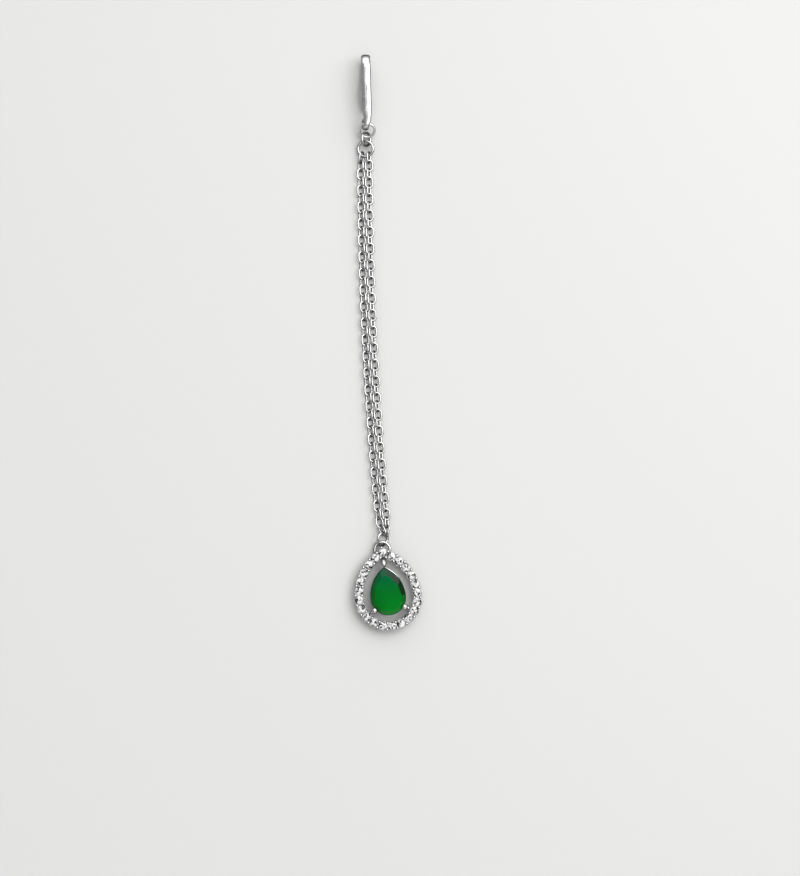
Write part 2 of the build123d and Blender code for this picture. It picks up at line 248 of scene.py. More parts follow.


# %% One finish for each way of making a piece
# wire for rings and links, strip for the hook, cast for cups, beads and basket, the darkest for
# the bridges, as painted shade between the cups, and satin for the hook's own ring; the fourth
# number of each is the share of its colour kept under the painted shade on its sides
FINISHES = {
    "wire": dict(smooth=0.20, dull=0.30, ripple=0.25, flank_shade=0.12, start=0.93),
    "strip": dict(smooth=0.14, dull=0.28, ripple=0.50, flank_shade=0.26, start=0.86),
    "cast": dict(smooth=0.12, dull=0.30, ripple=0.60, flank_shade=0.28),
    "claw": dict(smooth=0.12, dull=0.26, ripple=0.40, flank_shade=0.16, start=0.84),
    "bail": dict(smooth=0.10, dull=0.20, ripple=0.25, flank_shade=0.12, start=0.99),
    # a dark metal for the bridges: painted shade between the cups
    "shaded_recess": dict(smooth=0.30, dull=0.50, ripple=0.60, flank_shade=0.30, dark=0.10, bright=0.20),
    "satin": dict(smooth=0.35, dull=0.50, ripple=0.40, flank_shade=0.80),
}
metal = {name: silver(name + "_silver", **polish) for name, polish in FINISHES.items()}
print("finishes:", ", ".join(metal))


# %% Finishing a metal piece
def finish(piece, material, node):
    """Give a piece its metal, let it ride with the jewel, and let it stand for a measured node.

    How far it stands past that node's box is the largest of (low - its low, its high - high).
    """
    piece.data.materials.append(material)
    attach(piece, "root")
    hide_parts(node)
    low, high = (np.array(corner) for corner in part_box(node))
    reach = np.array(piece.bound_box)
    past = max((low - reach.min(0)).max(), (reach.max(0) - high).max(), 0)
    print(f"  past the measured box by {past / MM:.3f} mm")


# %% [markdown]
# ## Jump rings
#
# Four rings join the hook, the chain and the pendant. A jump ring is round wire bent into a
# circle, and its two ends meet in a fine slit. A torus would be quicker and would miss the
# slit, so here a round section is carried along a circle that stops just short of closing,
# with its ends rounded over.

# %% Jump rings with a slit
RING_SLIT = 0.05
LIP_LENGTH = 0.12
LIP_WIDTH = 0.35
# name: outer diameter, wire, yaw, pitch, roll, where the slit is
RINGS = {
    "ring_hook": (3.00, 0.45, 0.0, 36.7, 0.0, 200.0),
    "ring_middle": (2.60, 0.42, 0.0, 1.2, 51.2, 40.0),
    "ring_chain": (3.00, 0.42, -4.1, 5.1, -7.9, 165.0),
    "ring_pendant": (2.70, 0.39, -8.7, 8.3, 45.9, 20.0),
}


def capped(length, radius, stations):
    """Stations along a wire and its thickness there: sqrt(1 - (1 - s/r)^2) at each end."""
    ends = radius * (1 - np.cos(np.linspace(0, np.pi / 2, 6)))
    body = np.linspace(radius, length - radius, stations)[1:-1]
    along = np.concatenate([ends, body, length - ends[::-1]])
    from_end = np.minimum(along, length - along)
    share = np.clip(1 - from_end / radius, 0, 1)
    return along, np.sqrt(1 - share**2)


def jump_ring(name):
    """Round wire on a circle: path = R (cos, sin), from one lip of the slit to the other."""
    outer, wire, yaw, pitch, roll, slit = RINGS[name]
    radius = (outer - wire) / 2
    length = 2 * np.pi * radius - RING_SLIT
    along, thickness = capped(length, wire * LIP_LENGTH, 72)
    turn = np.radians(slit) + (along + RING_SLIT / 2) / radius
    out = np.stack([np.cos(turn), np.sin(turn), 0 * turn], axis=-1)
    thickness = LIP_WIDTH + (1 - LIP_WIDTH) * thickness
    section = oval(14, wire / 2, wire / 2) * thickness[:, None, None]
    section[[0, -1]] = 0
    points = carry(out * radius, out, np.array([[0, 0, 1.0]]), section)
    return points @ turning(yaw, pitch, roll).T + middle(name)


for ring_name in RINGS:
    polish = "satin" if ring_name == "ring_hook" else "wire"
    finish(skin(ring_name + "_wire", jump_ring(ring_name)), metal[polish], ring_name)

# %% [markdown]
# ## The chain
#
# Two strands of oval cable links lie side by side. Each link is threaded through the next and
# leans the other way, and each strand drifts sideways on its way down. An Array modifier could
# repeat one link, but not turn every other one and let the end links meet their rings. So one
# wire loop is worked out, then turned and moved by as many poses as there are links, all in
# one array. The solder joint on one side of each link is a slight swelling of the wire.

# %% Places along the chain, counted from the hook's bend
LINKS = 46
LINK_PITCH = 1.408
LINK_PLAY = 0.13
LINK_WIDTH = 1.50
LINK_WIRE = 0.30
# how far the first link is below the bend, and how far the last one is to the right of it
FIRST_LINK = 17.15
CHAIN_DRIFT = 3.20
RING_CHAIN_PLACE = np.array([0.09, -15.70])
bend = middle("ring_chain")[:2] - RING_CHAIN_PLACE
print("the hook's bend, mm:", bend.round(2))

# strand: across, height, roll of even links, roll of odd links
STRANDS = {"chain_left": (-0.70, 0.64, 22.0, -52.0), "chain_right": (0.66, 0.71, 66.0, 4.0)}
# links that turn to meet a ring: (strand, number): across, further on, height, yaw, pitch, roll
END_LINKS = {
    ("chain_left", 0): (-0.585, 0.01, 0.73, -7.3, 3.8, 57.6),
    ("chain_right", 0): (0.64, 0.02, 0.75, -0.8, 1.3, 67.1),
    ("chain_left", LINKS - 2): (-0.585, -0.04, 0.84, 13.3, -11.2, 30.0),
    ("chain_right", LINKS - 2): (0.625, -0.02, 0.73, 3.8, -1.6, 68.3),
    ("chain_left", LINKS - 1): (-0.27, -0.145, 1.13, 24.4, -17.1, -44.7),
    ("chain_right", LINKS - 1): (0.39, -0.055, 0.79, -12.4, -2.2, -43.9),
}

# %% One link
SOLDER_SWELL = 0.10
SOLDER_SPREAD = 0.16


def arc(centre, radius, first, last, steps):
    """Points on an arc: centre + radius * (cos, sin), between two angles in degrees."""
    turn = np.radians(np.linspace(first, last, steps + 1))
    return np.stack([centre[0] + radius * np.cos(turn), centre[1] + radius * np.sin(turn)], -1)


def link_wire(sides):
    """A wire loop about the origin, long axis Y: two half circles joined by short straights.

    The wire's radius is r (1 + swell * exp(-(d / spread)^2)), at a distance d from the joint.
    """
    radius = (LINK_WIDTH - LINK_WIRE) / 2
    half = (LINK_PITCH + LINK_PLAY + LINK_WIRE) / 2 - radius
    straight = np.linspace(-half, half, 6)[1:-1]
    far, near = arc((0, half), radius, 0, 180, 12), arc((0, -half), radius, 180, 360, 12)
    left = np.stack([0 * straight - radius, -straight], axis=-1)
    right = np.stack([0 * straight + radius, straight], axis=-1)
    line = np.concatenate([far, left, near, right, far[:1]])
    out = np.stack([line[:, 0], np.sign(line[:, 1]) * np.maximum(abs(line[:, 1]) - half, 0)], -1)
    out /= np.linalg.norm(out, axis=1, keepdims=True)
    path, side = (np.pad(part, ((0, 0), (0, 1))) for part in (line, out))
    to_joint = np.hypot(line[:, 0] - radius, line[:, 1])
    wire = LINK_WIRE / 2 * (1 + SOLDER_SWELL * np.exp(-((to_joint / SOLDER_SPREAD) ** 2)))
    return carry(path, side, np.array([[0, 0, 1.0]]), oval(sides) * wire[:, None, None])


# %% Two strands of links
def strand_poses(strand):
    """Each link's place and turn: the strand drifts with the square of its way down."""
    across, height, even_roll, odd_roll = STRANDS[strand]
    number = np.arange(LINKS)
    way = number / (LINKS - 1)
    ones = np.ones(LINKS)
    slope = np.degrees(np.arctan(2 * CHAIN_DRIFT * way / (LINK_PITCH * (LINKS - 1))))
    roll = np.where(number % 2, odd_roll, even_roll)
    rows = np.stack([across * ones, 0 * ones, height * ones, slope, 0 * ones, roll], axis=-1)
    for (owner, link), row in END_LINKS.items():
        if owner == strand:
            rows[link] = row
    across, further, height, yaw, pitch, roll = rows.T
    below = FIRST_LINK + number * LINK_PITCH + further
    places = [bend[0] + across + CHAIN_DRIFT * way**2, bend[1] - below, height]
    return np.stack(places, axis=-1), turning(yaw, pitch, roll)


loop = link_wire(10)
for strand in STRANDS:
    places, turns = strand_poses(strand)
    linked = np.einsum("kij,uvj->kuvi", turns, loop) + places[:, None, None]
    finish(skin(strand + "_links", linked), metal["wire"], strand)

# %% [markdown]
# ## The hair hook
#
# The hook is one flattened wire. It rises from its tip on the table, turns over at the bend,
# runs down to the first ring and curls round into an eye. A curve with a bevel could be it, but
# its section would only grow or shrink, and this one also gets rounder. So the route is drawn
# side on, as (distance below the bend, height), and an oval section with a width and a
# thickness of its own at every station is carried along it. A drawn and hammered strip is
# never quite even, so both wander by a few hundredths of a millimetre, and the curled end
# slips to the left of the leg.

# %% The hook's route, side on
BEND_RADIUS = 1.90
BEND_CREST = 4.25
TIP_LIFT_RADIUS = 4.0
HALF_THICK = 0.36
EYE_RADIUS = 0.73
EYE_MIDDLE = np.array([11.77, 2.47])
EYE_TURN = 290.0


def unit(vector):
    """The same direction with length 1: the vector over the root of its squares' sum."""
    return vector / np.linalg.norm(vector)


def evenly(line, step):
    """The same line with points at even steps along its length."""
    length = np.concatenate([[0], np.cumsum(np.linalg.norm(np.diff(line, axis=0), axis=1))])
    at = np.linspace(0, length[-1], int(length[-1] / step) + 1)
    return np.stack([np.interp(at, length, column) for column in line.T], axis=-1), at


def rounded(corners, radii):
    """A polyline with rounded corners: an arc starts radius * tan(turn / 2) before each one."""
    line = [corners[0][None]]
    for before, corner, after, radius in zip(corners, corners[1:], corners[2:], radii):
        into, out = unit(corner - before), unit(after - corner)
        turn = np.arctan2(into[0] * out[1] - into[1] * out[0], into @ out)
        side = np.sign(turn) * np.array([-into[1], into[0]])
        start = corner - into * radius * np.tan(abs(turn) / 2)
        swing = np.linspace(0, abs(turn), 40)[:, None]
        line.append(start + radius * (side + into * np.sin(swing) - side * np.cos(swing)))
    return np.concatenate([*line, corners[-1][None]])


eye_run, eye_drop = EYE_MIDDLE[0] - HALF_THICK, BEND_CREST - EYE_MIDDLE[1]
leg_fall = np.arctan2(eye_drop, eye_run) - np.arcsin(EYE_RADIUS / np.hypot(eye_run, eye_drop))
eye_top = EYE_MIDDLE + EYE_RADIUS * np.array([np.sin(leg_fall), np.cos(leg_fall)])
# the tip, the place where it lifts off the table, and the bend's two corners
corners = np.array([[9.40, 0.38], [6.60, 1.325], [HALF_THICK, 0.036], [HALF_THICK, BEND_CREST]])
leg = rounded([*corners, eye_top], [TIP_LIFT_RADIUS, BEND_RADIUS, BEND_RADIUS])
start = 90 - np.degrees(leg_fall)
curl = arc(EYE_MIDDLE, EYE_RADIUS, start, start - EYE_TURN, 60)
route, along = evenly(np.concatenate([leg, curl[1:]]), 0.12)
print("hook's wire, mm:", round(along[-1], 2))

# %% How wide and thick the strip is along its length
HALF_WIDTH = 0.75
NARROWER = 0.21
THINNER = 0.06
ROUND_END = 0.5
FULLNESS = 0.85
EDGE_WANDER = 0.018
# how far before its end the wire starts to slim, and over what length it does
SLIMS = (5.9, 2.2)


def near_end(first, run):
    """0 up to so far before the wire's end, 1 a run further on, between them 3 s^2 - 2 s^3."""
    share = np.clip((along - along[-1] + first) / run, 0, 1)
    return share**2 * (3 - 2 * share)


# five waves for the width, and five for the thickness
wander = np.random.default_rng(7)
starts, paces = wander.uniform(0, 2 * np.pi, (2, 5, 1)), wander.uniform(0.6, 3.0, (2, 5, 1))
uneven = np.sin(starts + paces * along).mean(axis=1) * EDGE_WANDER
from_end = np.minimum(along, along[-1] - along)
closing = np.sqrt(1 - np.clip(1 - from_end / ROUND_END, 0, 1) ** 2)
closing[[0, -1]] = 0
slimmer = near_end(*SLIMS)
half_width = (HALF_WIDTH - NARROWER * slimmer + uneven[0]) * closing
half_thick = (HALF_THICK - THINNER * slimmer + uneven[1] / 2) * closing
print("half width, mm:", half_width.max().round(3), "half thickness:", half_thick.max().round(3))

# %% The hook's strip
HOOK_ACROSS = 0.12
HOOK_LEAN = 1.8
CURL_DRIFT = 0.42
# where the curl starts to slip aside, and over what length
SLIPS = (4.4, 1.8)

# a power below 1 makes the oval fuller towards its corners
section = oval(28)
section = np.sign(section) * abs(section) ** FULLNESS
section = section * np.stack([half_width, half_thick], axis=-1)[:, None]
heading = np.gradient(route, axis=0)
heading /= np.linalg.norm(heading, axis=1, keepdims=True)
path = np.stack([-CURL_DRIFT * near_end(*SLIPS), -route[:, 0], route[:, 1]], axis=-1)
across = np.broadcast_to([1.0, 0, 0], path.shape)
up = np.stack([0 * along, heading[:, 1], heading[:, 0]], axis=-1)
strip = carry(path, across, up, section) @ turning(HOOK_LEAN, 0, 0).T
strip = strip + np.array([bend[0] + HOOK_ACROSS, bend[1], 0])
finish(skin("hook_strip", strip), metal["strip"], "hook")

# %% [markdown]
# ## The pendant's halo
#
# The halo follows a pear outline, a round belly with two long shoulders that meet at the tip.
# Twenty-two cups stand on it at even steps. A pair of bead prongs stands between each two
# cups, one inside and one outside, and one more stands outside the tip's cup. A bow-tie of
# metal fills the room between the cups. They could be placed by eye, one by one, but arcs give
# the outline and even steps along its length give every place. Cups and beads are turned
# profiles, as on a lathe.

# %% The pear outline, and places round it
PENDANT_ACROSS = 3.96
PENDANT_BELOW = 91.65
PENDANT_TILT = 7.4
STONES = 22
# radii of its round belly and of its shoulders
HALO = (4.95, 8.18)
pendant_middle = np.array([bend[0] + PENDANT_ACROSS, bend[1] - PENDANT_BELOW, 0])
pendant_turn = turning(PENDANT_TILT, 0, 0)


def on_pendant(points):
    """Points about the halo's round end, turned with the pendant and moved to its place."""
    return points @ pendant_turn.T + pendant_middle


def pear(belly, shoulder, steps=48):
    """A pear outline: an arc down one shoulder, a half circle round, an arc up the other.

    The shoulders' centres stand (shoulder - belly) to each side, so that all arcs run on.
    """
    centre = shoulder - belly
    turn = np.degrees(np.arccos(centre / shoulder))
    down = arc((centre, 0), shoulder, 180 - turn, 180, steps)
    up = arc((-centre, 0), shoulder, 0, turn, steps)
    return np.concatenate([down, arc((0, 0), belly, 180, 360, steps)[1:], up[1:]])


def round_halo(step):
    """Places on the halo's line, so many stones on from the tip, and their outward sides."""
    line, length = evenly(pear(*HALO, 200), 0.01)
    at = (step / STONES % 1) * length[-1]
    spot = np.stack([np.interp(at, length, column) for column in line.T], axis=-1)
    ahead = np.stack([np.interp(at + 0.02, length, column) for column in line.T], axis=-1)
    way = (ahead - spot) / np.linalg.norm(ahead - spot, axis=1, keepdims=True)
    return spot, np.stack([way[:, 1], -way[:, 0]], axis=-1)


cup_places, _ = round_halo(np.arange(STONES))
gap_places, gap_out = round_halo(np.arange(STONES) + 0.5)
gap_length = np.linalg.norm(np.diff(cup_places, axis=0), axis=1).min()
print("from cup to cup, mm:", gap_length.round(3))


# %% Turned cups
def lathe(profile, sides):
    """Turn a profile of (radius, height) about Z: point = (radius cos, radius sin, height)."""
    turn = np.linspace(0, 2 * np.pi, sides + 1)
    radius, height = profile[:, :1], profile[:, 1:]
    return np.stack([radius * np.cos(turn), radius * np.sin(turn), height + 0 * turn], axis=-1)


def copies(shape, spots, angles=0.0):
    """The same shape at many spots: each copy turned about Z by its angle, then moved."""
    turns = turning(angles + np.zeros(len(spots)), 0, 0)
    places = np.pad(spots, ((0, 0), (0, 1)))
    return np.einsum("kij,uvj->kuvi", turns, shape) + places[:, None, None]


cup_profile = np.array([
    [0.44, 0.84], [0.66, 0.86], [0.74, 1.10], [0.80, 1.50], [0.825, 1.80], [0.825, 1.90],
    [0.805, 1.95], [0.775, 1.97], [0.750, 1.96], [0.735, 1.92], [0.732, 1.85], [0.44, 1.60],
    [0.40, 1.54], [0.40, 0.90], [0.44, 0.84],
])
cups = copies(lathe(cup_profile, 32), cup_places)
print("cups:", len(cups), "of radius", cup_profile[:, 0].max(), "mm")

# %% Bridges between the cups
BRIDGE_REACH = 0.58
INTO_CUP = 0.775

# its sides follow the cups' walls: half gap = half of cup to cup - sqrt(radius^2 - reach^2)
reach = np.linspace(-BRIDGE_REACH, BRIDGE_REACH, 13)
half_gap = gap_length / 2 - np.sqrt(INTO_CUP**2 - reach**2)
# its outline between two cups, as (share of the half gap, height)
rim = np.array([
    [-1, 0.87], [-1, 1.72], [-0.8, 1.80], [0.8, 1.80], [1, 1.72], [1, 0.87], [-1, 0.87],
])
bridge = np.stack([
    np.repeat(reach[:, None], len(rim), axis=1),
    half_gap[:, None] * rim[:, 0],
    np.broadcast_to(rim[:, 1], (len(reach), len(rim))),
], axis=-1)
# each end is closed by a copy of its ring that is drawn together to one point
flat_ends = bridge[[0, -1]].copy()
flat_ends[..., 1:] = [0, 1.3]
bridge = np.concatenate([flat_ends[:1], bridge, flat_ends[1:]])
gap_angles = np.degrees(np.arctan2(gap_out[:, 1], gap_out[:, 0]))
bridges = copies(bridge, gap_places, gap_angles)
print("bridges:", len(bridges), "and", (2 * half_gap.min()).round(3), "mm at their waist")

# %% Bead prongs
BEAD_OUT = 0.53
BEAD_RADIUS = 0.25
BEAD_HEIGHT = 2.02
# from the middle of the tip's cup
TIP_BEAD = (-0.08, 0.88)
dome = arc((0, BEAD_HEIGHT), BEAD_RADIUS, -25, 90, 8)
bead_profile = np.concatenate([[[0, 0.95], [0.21, 0.95], [0.23, 1.10], [0.225, 1.85]], dome])
bead_profile[-1, 0] = 0
bead_spots = np.concatenate([
    *[gap_places + side * BEAD_OUT * gap_out for side in (-1, 1)],
    cup_places[:1] + TIP_BEAD,
])
beads = copies(lathe(bead_profile, 14), bead_spots)
print("beads:", len(beads), "up to", bead_profile[:, 1].max(), "mm high")

# %% The bail ring behind the tip, soldered to the first cups
BAIL_RADIUS = 1.295
BAIL_WIRE = 0.23
BAIL_SWELL = 0.12
BAIL_SPREAD = 0.55
BAIL_PAST_TIP = 0.50
BAIL_HEIGHT = 0.87
tip_y = np.sqrt(HALO[1] ** 2 - (HALO[1] - HALO[0]) ** 2)
turn = np.linspace(0, 2 * np.pi, 73)
# the wire swells with the solder, at the ring's lowest point
to_cups = np.exp(-(((turn - 1.5 * np.pi) / BAIL_SPREAD) ** 2))
wire = BAIL_WIRE * (1 + BAIL_SWELL * to_cups)
out = np.stack([np.cos(turn), np.sin(turn), 0 * turn], axis=-1)
bail = carry(out * BAIL_RADIUS, out, np.array([[0, 0, 1.0]]), oval(14) * wire[:, None, None])
bail += np.array([0, tip_y + BAIL_PAST_TIP, BAIL_HEIGHT])
print("from the belly's middle to the tip, mm:", tip_y.round(2))

# %% [markdown]
# ## The basket
#
# The centre stone stands above the halo in a basket: a gallery rail just under its girdle,
# whose lip shows beside the stone on one shoulder only, a small base rail that the pendant
# lies on, and three posts that end in claws. Two short struts join the side posts to the halo.
# Each side claw is a wire, bowed outwards, with a ball melted on its end, and the tip's claw
# is a drop. Their notches could be drawn by hand, but the stone's own shape, a little
# enlarged, cuts them exactly where it sits.

# %% The gallery rail and the base rail
# radii of the belly and of the shoulders, as the halo's
CENTRE = (3.00, 6.00)
BASE = (1.70, 4.25)
BASE_WIRE = 0.22
BASE_HEIGHT = 0.225
CENTRE_SET_BACK = 0.05
LIP_OUT = 0.08
LIP_PLACE = 0.30
LIP_SPREAD = 0.34


def pear_band(belly, shoulder, section):
    """A band on a pear: each point (outset, height) of its section gives one offset pear."""
    lines = [pear(belly + outset, shoulder + outset) for outset, _ in section]
    heights = np.broadcast_to(section[:, 1], (len(lines[0]), len(section)))
    return np.dstack([np.stack(lines, axis=1), heights])


gallery_section = np.array([
    [0.08, 2.08], [0.09, 2.24], [0.08, 2.40], [0.03, 2.45], [-0.08, 2.46], [-0.19, 2.43],
    [-0.26, 2.38], [-0.33, 2.28], [-0.34, 2.10], [-0.28, 2.03], [0.00, 2.03], [0.08, 2.08],
])
gallery = pear_band(*CENTRE, gallery_section)
base = pear_band(*BASE, oval(12, BASE_WIRE, BASE_WIRE) + [0, BASE_HEIGHT])

# the lip is drawn in by out * (1 - exp(-((azimuth - place) / spread)^2)), azimuths in radians
lip = gallery_section[:, 0] > 0
azimuth = np.arctan2(gallery[:, lip, 0], gallery[:, lip, 1])
tucked = LIP_OUT * (1 - np.exp(-(((azimuth - LIP_PLACE) / LIP_SPREAD) ** 2)))
reach = np.linalg.norm(gallery[:, lip, :2], axis=-1)
gallery[:, lip, :2] *= (1 - tucked / reach)[..., None]
for band in (gallery, base):
    band[..., 1] -= CENTRE_SET_BACK
print("the lip is drawn in by up to, mm:", tucked.max().round(3))

# %% Struts
CLAW_AZIMUTH = 126.0
STRUT_WIRE = 0.24
# where a strut starts, the point that pulls it, and its end: how far out, and how high
STRUT = [(2.5, 1.35), (3.4, 1.30), (4.32, 1.38)]


def from_basket(reach, azimuth, height):
    """A point so far out from the stone's middle: (reach sin, reach cos - set back, height)."""
    turn = np.radians(azimuth)
    return np.array([reach * np.sin(turn), reach * np.cos(turn) - CENTRE_SET_BACK, height])


def wire_through(start, pull, end, radii):
    """A round wire on a curved path (1-t)^2 start + 2t(1-t) pull + t^2 end, its radii given."""
    share = np.linspace(0, 1, len(radii))[:, None]
    path = (1 - share) ** 2 * start + 2 * share * (1 - share) * pull + share**2 * end
    heading = np.gradient(path, axis=0)
    heading /= np.linalg.norm(heading, axis=1, keepdims=True)
    side = np.cross(heading, np.cross(end - start, [0, 0, 1.0]) + [1e-6, 0, 0])
    side /= np.linalg.norm(side, axis=1, keepdims=True)
    section = oval(16) * radii[:, None, None]
    return carry(path, side, np.cross(heading, side), section)


def closed(body):
    """Radii along a wire, with each end rounded off: its radius times a sine from 0 to 1."""
    ends = np.sin(np.linspace(0, np.pi / 2, 6))
    return np.concatenate([body[0] * ends, body[1:-1], body[-1] * ends[::-1]])


struts = []
for side in (-1, 1):
    places = [from_basket(out, side * CLAW_AZIMUTH, height) for out, height in STRUT]
    struts.append(wire_through(*places, closed(np.full(14, STRUT_WIRE))))
print("struts:", len(struts))

# %% Three claws
BALL_RADIUS = 0.52
# each wire's foot, the point that pulls it, and its top: the side ones as (how far out, how high)
SIDE_CLAW = [(BASE[0], 0.24), (3.50, 1.40), (3.18, 2.93)]
TIP_DROP = np.array([[0, tip_y - 0.70, 1.30], [0, 6.35, 2.75], [0, 5.18, 3.12]])
TIP_POST = np.array([[0, 3.15, 0.24], [0, 5.60, 1.20], [0, 5.75, 2.70]])
# each wire's radii, from its foot to its top
side_radii = [0.28, 0.27, 0.26, 0.25, 0.24, 0.24, 0.24, 0.25, 0.26, 0.28, 0.30, 0.31, 0.32]
drop_radii = [0.30, 0.33, 0.37, 0.40, 0.43, 0.45, 0.46, 0.46, 0.45]
post_radii = [0.28, 0.27, 0.26, 0.25, 0.24, 0.24, 0.24, 0.24]

ball = lathe(arc((0, 0), BALL_RADIUS, -90, 90, 14), 20)
ball[[0, -1], :, :2] = 0
claws = []
for side in (-1, 1):
    places = [from_basket(out, side * CLAW_AZIMUTH, height) for out, height in SIDE_CLAW]
    claws += [wire_through(*places, closed(np.array(side_radii))), ball + places[-1]]
claws.append(wire_through(*TIP_DROP, closed(np.array(drop_radii))))
claws.append(wire_through(*TIP_POST, closed(np.array(post_radii))))

# %% A notch for the stone in each claw
NOTCH_ROOM = 0.03


def grown(node, room):
    """A copy of a measured node with every point moved out from the node's middle by room."""
    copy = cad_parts[node].data.copy()
    points = np.empty(len(copy.vertices) * 3)
    copy.vertices.foreach_get("co", points)
    points = points.reshape(-1, 3)
    out = points - points.mean(axis=0)
    out /= np.linalg.norm(out, axis=1, keepdims=True)
    copy.vertices.foreach_set("co", (points + out * room * MM).ravel())
    piece = bpy.data.objects.new(node + "_cutter", copy)
    bpy.context.scene.collection.objects.link(piece)
    return piece


def cut(piece, cutter):
    """Cut one object out of another for good, and remove the cutter."""
    step = piece.modifiers.new("notch", "BOOLEAN")
    step.object = cutter
    step.operation = "DIFFERENCE"
    step.solver = "EXACT"
    step.use_self = True
    worked_out = bpy.context.evaluated_depsgraph_get()
    shape = bpy.data.meshes.new_from_object(piece.evaluated_get(worked_out))
    piece.modifiers.clear()
    piece.data = shape
    bpy.data.objects.remove(cutter)
    shape.polygons.foreach_set("use_smooth", np.ones(len(shape.polygons), bool))
    print(f"{piece.name}: {len(shape.polygons)} faces after its notch")


claw_piece = skin("setting_claws", *[on_pendant(claw) for claw in claws])
cut(claw_piece, grown("centre_stone", NOTCH_ROOM))

# %% The setting's pieces stand for the measured setting
cup_piece = skin("setting_cups", on_pendant(cups))
bridge_piece = skin("setting_bridges", on_pendant(bridges))
bead_piece = skin("setting_beads", on_pendant(beads))
bail_piece = skin("setting_bail", on_pendant(bail))
basket_piece = skin("setting_basket", *[on_pendant(part) for part in (gallery, base, *struts)])
for piece in (cup_piece, bead_piece, basket_piece):
    finish(piece, metal["cast"], "pendant_setting")
finish(claw_piece, metal["claw"], "pendant_setting")
# the bridges' metal is dark as painted shade between the cups
finish(bridge_piece, metal["shaded_recess"], "pendant_setting")
finish(bail_piece, metal["bail"], "pendant_setting")

# %% [markdown]
# ## The round stones
#
# A round brilliant has a flat table, a crown of stars, kites and girdle facets, and a pointed
# pavilion below. What the eye sees in it is the pavilion's mirrors, chopped up by the crown
# into flashes of white and black. Rays traced through so small a stone blur into grey, so these
# reflections are painted: each facet carries its own flash as a number on the mesh, which sets
# its colour from black to white, and the table is cut in two, a disc and a ring, for the
# flashes that show through it. A free draw would leave some stones all white, so each stone
# shuffles the same mix of dark, grey and white round every ring of facets.

# %% A brilliant's points and facets
STONE_RADIUS = 0.70
TABLE_RADIUS = 0.40
DISC_RADIUS = 0.20
# how far out and how high the stars' points stand, and the points of the facets below the girdle
STAR_RADIUS, STAR_HEIGHT = 0.593, 2.054
LOW_RADIUS, LOW_HEIGHT = 0.374, 1.591
CROWN_TOP, GIRDLE_TOP, GIRDLE_FOOT, CULET = 2.16, 1.95, 1.90, 1.29


def eight(radius, height, half=0.0):
    """Eight points round a circle: (radius cos, radius sin, height), half a step on or not."""
    turn = np.radians(45.0 * (np.arange(8) + half))
    return np.stack([radius * np.cos(turn), radius * np.sin(turn), height + 0 * turn], axis=-1)


brilliant = np.concatenate([
    [[0, 0, CROWN_TOP], [0, 0, CULET]],
    eight(DISC_RADIUS, CROWN_TOP), eight(TABLE_RADIUS, CROWN_TOP),
    eight(STAR_RADIUS, STAR_HEIGHT, 0.5),
    eight(STONE_RADIUS, GIRDLE_TOP), eight(STONE_RADIUS, GIRDLE_TOP, 0.5),
    eight(STONE_RADIUS, GIRDLE_FOOT), eight(STONE_RADIUS, GIRDLE_FOOT, 0.5),
    eight(LOW_RADIUS, LOW_HEIGHT, 0.5),
])
rings = 2 + np.arange(64).reshape(8, 8)
disc, table_rim, star, main, between, main_foot, between_foot, low = rings
top, culet = np.zeros(8, int), np.ones(8, int)
after, before = np.roll(np.arange(8), -1), np.roll(np.arange(8), 1)
triangles = [
    (top, disc, disc[after]), (table_rim, star, table_rim[after]),
    (star, main, between), (star, between, main[after]),
    (low, between_foot, main_foot), (low, main_foot[after], between_foot),
]
quads = [
    (disc, table_rim, table_rim[after], disc[after]), (table_rim, star[before], main, star),
    (main, main_foot, between_foot, between),
    (between, between_foot, main_foot[after], main[after]),
    (culet, low, main_foot, low[before]),
]
facets = [facet for kind in triangles + quads for facet in np.stack(kind, axis=-1).tolist()]
print("facets on a brilliant:", len(facets))

# %% A stone in its place, turned and flashing in its own way
FLASHES = np.array([0.0, 0.55, 1.0, 1.0])
shuffle = np.random.default_rng(22)


def cut_stone(node):
    """A brilliant in a measured stone's place, turned at random, with a flash on each facet.

    Each kind's eight facets take the flashes twice over, and the disc's take them in pairs.
    """
    turned = brilliant @ turning(shuffle.uniform(0, 45), 0, 0).T
    mesh = bpy.data.meshes.new(node + "_cut")
    mesh.from_pydata((turned + [*middle(node)[:2], 0]) * MM, [], facets)
    work = bmesh.new()
    work.from_mesh(mesh)
    bmesh.ops.recalc_face_normals(work, faces=work.faces)
    work.to_mesh(mesh)
    work.free()
    deep = np.repeat(shuffle.permutation(FLASHES), 2)
    shallow, rim = (shuffle.permutation(np.repeat(FLASHES, 2)) for _ in range(2))
    # one for each kind of facet, the triangles first
    kinds = [deep, shallow, rim, rim, rim, rim, shallow, rim, rim, rim, rim]
    flash = mesh.attributes.new("flash", "FLOAT", "FACE")
    flash.data.foreach_set("value", np.concatenate(kinds))
    stone = bpy.data.objects.new(node + "_cut", mesh)
    bpy.context.scene.collection.objects.link(stone)
    return stone


# %% Clear stone, and the twenty-two brilliants
def stone_material(name, through, rough, index):
    """A cut stone: how much light goes through it, and how strongly it bends."""
    material, nodes, links, shader = new_material(name)
    shader.inputs["Transmission Weight"].default_value = through
    shader.inputs["Roughness"].default_value = rough
    shader.inputs["IOR"].default_value = index
    return material, nodes, links, shader


clear, nodes, links, shader = stone_material("clear_stone", through=0.06, rough=0.02, index=1.9)
shader.inputs["Coat Weight"].default_value = 0.3
shader.inputs["Coat Roughness"].default_value = 0.02
# painted reflection: each facet's flash turns its colour black, grey or white
flash = nodes.new("ShaderNodeAttribute")
flash.attribute_name = "flash"
painted_flash = nodes.new("ShaderNodeValToRGB")
painted_flash.color_ramp.elements[0].color = (0.02, 0.02, 0.02, 1)
painted_flash.color_ramp.elements[1].color = (0.98, 0.98, 0.98, 1)
links.new(flash.outputs["Fac"], painted_flash.inputs["Fac"])
links.new(painted_flash.outputs["Color"], shader.inputs["Base Color"])

